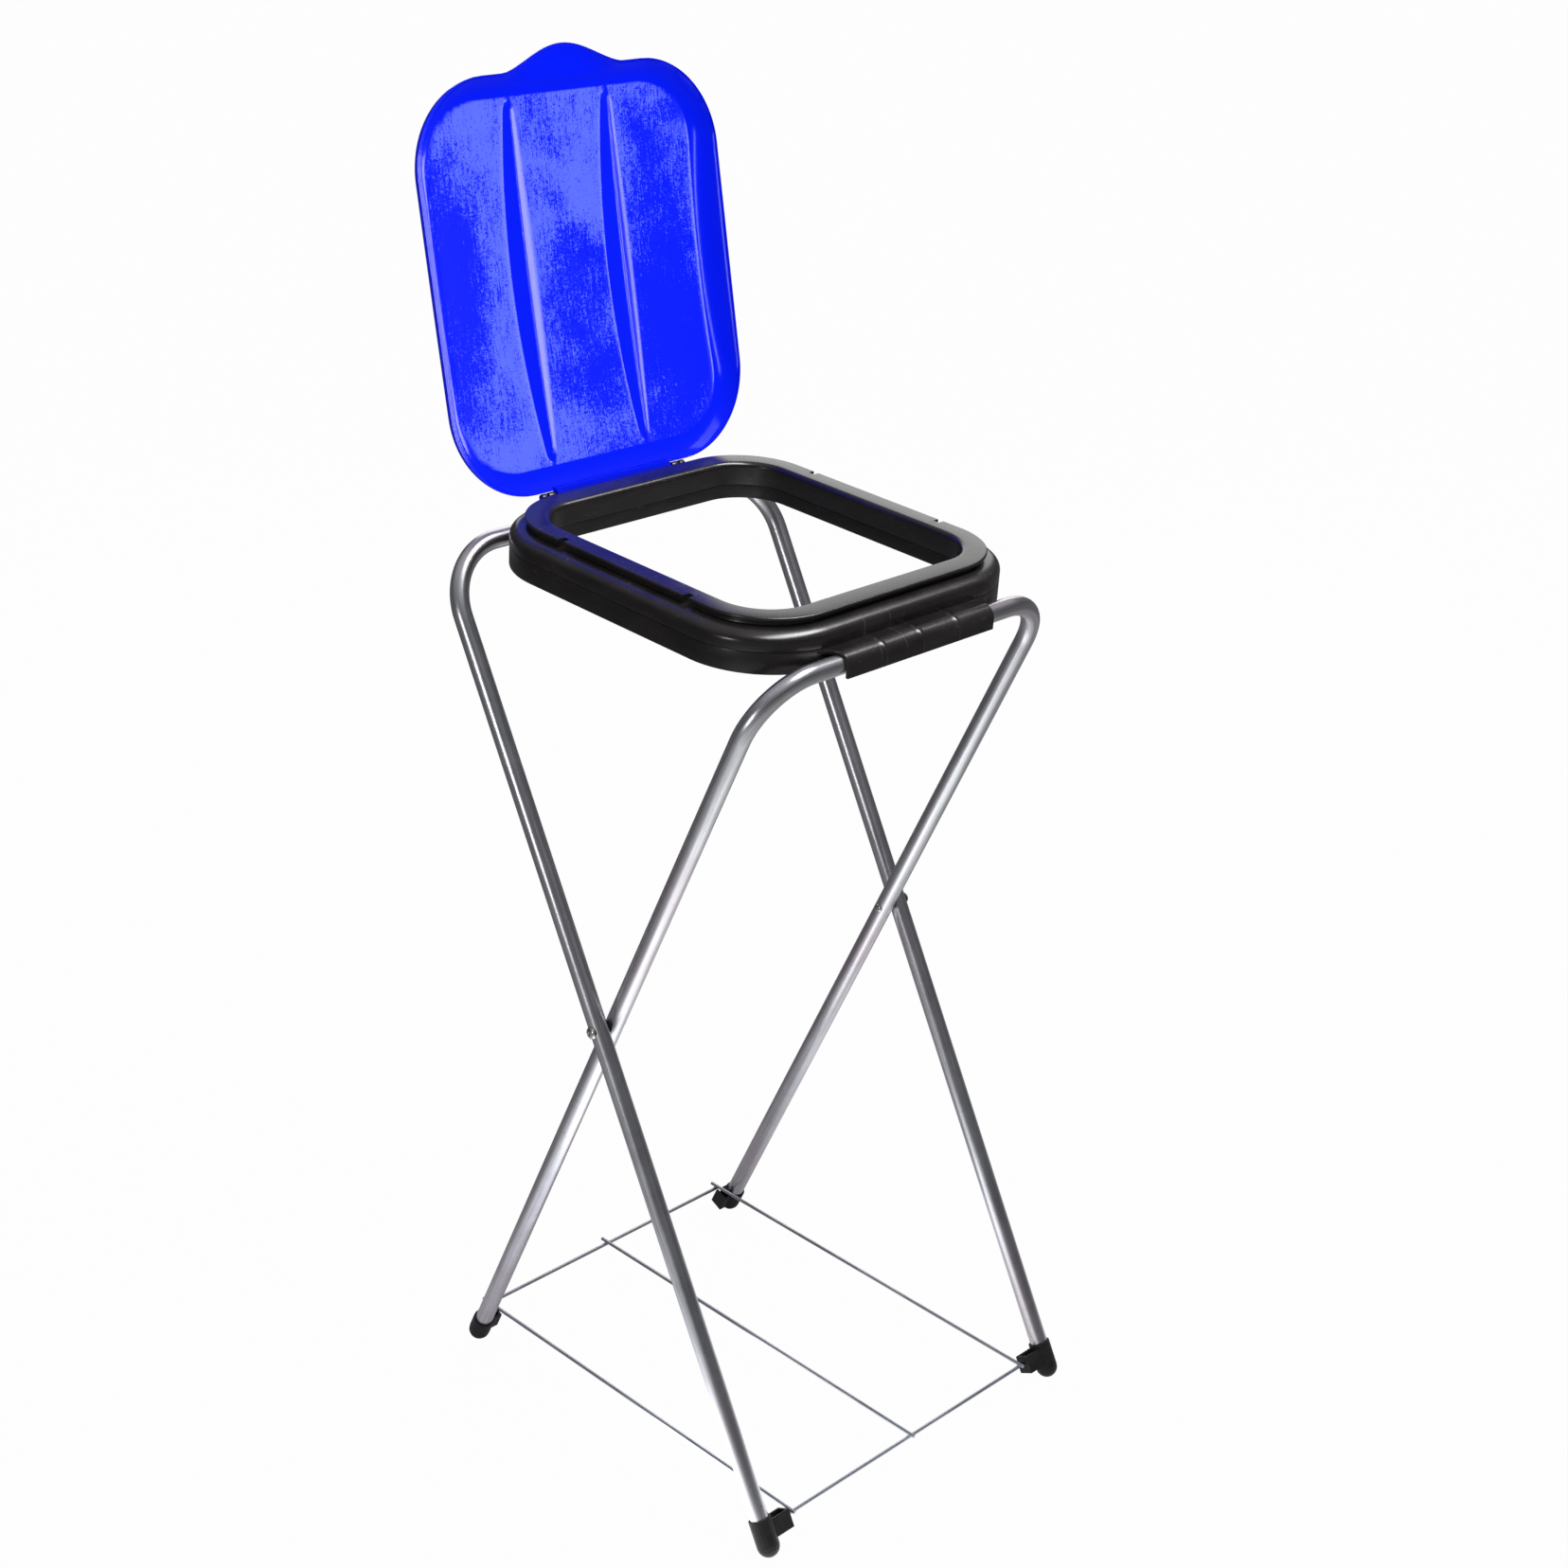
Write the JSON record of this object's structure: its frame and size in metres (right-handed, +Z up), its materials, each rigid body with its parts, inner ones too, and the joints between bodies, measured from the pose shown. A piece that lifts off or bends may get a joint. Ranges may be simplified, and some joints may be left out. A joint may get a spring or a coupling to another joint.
{
  "type": "bin bag holder",
  "caption": "Folding scissor-frame stand that holds a bin bag open in a clamping ring, with a hinged lid and a wire shelf under the bag",
  "frame": {"origin": "centre of the footprint box on the floor", "axes": "+Z up, the front of the stand faces -Y, the lid's hinge is at +Y"},
  "size_m": [0.3822, 0.4644, 1.1649],
  "materials": {
    "zinc_tube": "bright zinc plate, drawn lengthwise",
    "zinc_wire": "bright zinc plate",
    "rivet_nickel": "bright nickel plate",
    "washer_steel": "dark steel",
    "foot_black": "matt black moulding",
    "ring_black": "satin black moulding",
    "lid_blue": "glossy saturated blue moulding"
  },
  "bodies": {
    "outer_frame": {"outer_frame_tube": "zinc_tube", "pivot_rivet_left": "rivet_nickel", "pivot_rivet_right": "rivet_nickel", "pivot_spacer_left": "washer_steel", "pivot_spacer_right": "washer_steel", "foot_front_left": "foot_black", "foot_front_right": "foot_black"},
    "inner_frame": {"inner_frame_tube": "zinc_tube", "foot_back_left": "foot_black", "foot_back_right": "foot_black"},
    "wire_shelf": {"grid_wire_front": "zinc_wire", "grid_wire_back": "zinc_wire", "grid_wire_left": "zinc_wire", "grid_wire_middle": "zinc_wire", "grid_wire_right": "zinc_wire"},
    "lower_ring": {"base_frame": "ring_black"},
    "upper_ring": {"clamp_ring": "ring_black"},
    "lid": {"lid": "lid_blue"}
  },
  "joints": [
    {"name": "frame_fold", "type": "hinge", "parent": "outer_frame", "child": "inner_frame", "pos_m": [0, -0.0159, 0.41459], "axis": [-1, 0, 0], "range_deg": [0, 47]},
    {"name": "ring_swing", "type": "hinge", "parent": "outer_frame", "child": "lower_ring", "pos_m": [0, 0.17092, 0.78123], "axis": [-1, 0, 0], "range_deg": [0, 94]},
    {"name": "shelf_lift", "type": "hinge", "parent": "outer_frame", "child": "wire_shelf", "pos_m": [0, -0.21526, 0.02066], "axis": [1, 0, 0], "range_deg": [0, 50]},
    {"name": "clamp_lift", "type": "hinge", "parent": "lower_ring", "child": "upper_ring", "pos_m": [0, 0.16453, 0.80837], "axis": [-1, 0, 0], "range_deg": [0, 75]},
    {"name": "lid_close", "type": "hinge", "parent": "upper_ring", "child": "lid", "pos_m": [0, 0.16453, 0.80837], "axis": [1, 0, 0], "range_deg": [0, 103]}
  ],
  "couplings": [
    {"joint": "ring_swing", "follows": "frame_fold", "ratio": 2}
  ]
}
